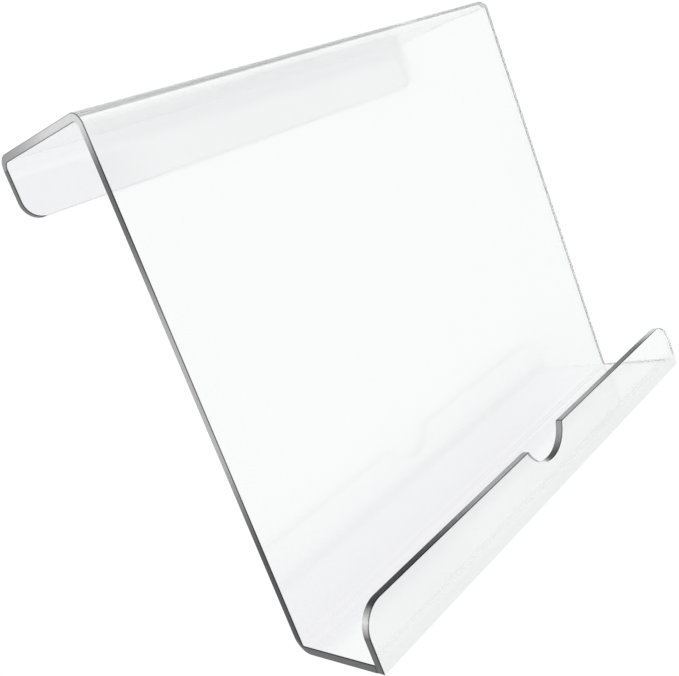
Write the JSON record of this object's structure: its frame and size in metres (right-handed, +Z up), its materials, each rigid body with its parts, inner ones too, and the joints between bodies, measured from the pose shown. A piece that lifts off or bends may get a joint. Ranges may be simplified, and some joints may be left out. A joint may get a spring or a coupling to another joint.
{
  "type": "book display stand",
  "caption": "Clear acrylic book stand: long sloping panel, deep ledge with an upright notched lip, and a shelf and short leg folded back behind the top edge as foot or hook.",
  "frame": {"origin": "on the table, under the middle of the stand's bounding box, as it rests on the fold below the panel and on the leg's lower edge", "axes": "+X across the width, to the reader's right; +Y away from the reader; +Z up"},
  "size_m": [0.3048, 0.2856, 0.0869],
  "materials": {
    "clear_acrylic": "clear, polished faces; cut edges satin"
  },
  "bodies": {
    "root": {"bent_sheet": "clear_acrylic", "front_lip": "clear_acrylic"}
  },
  "joints": []
}
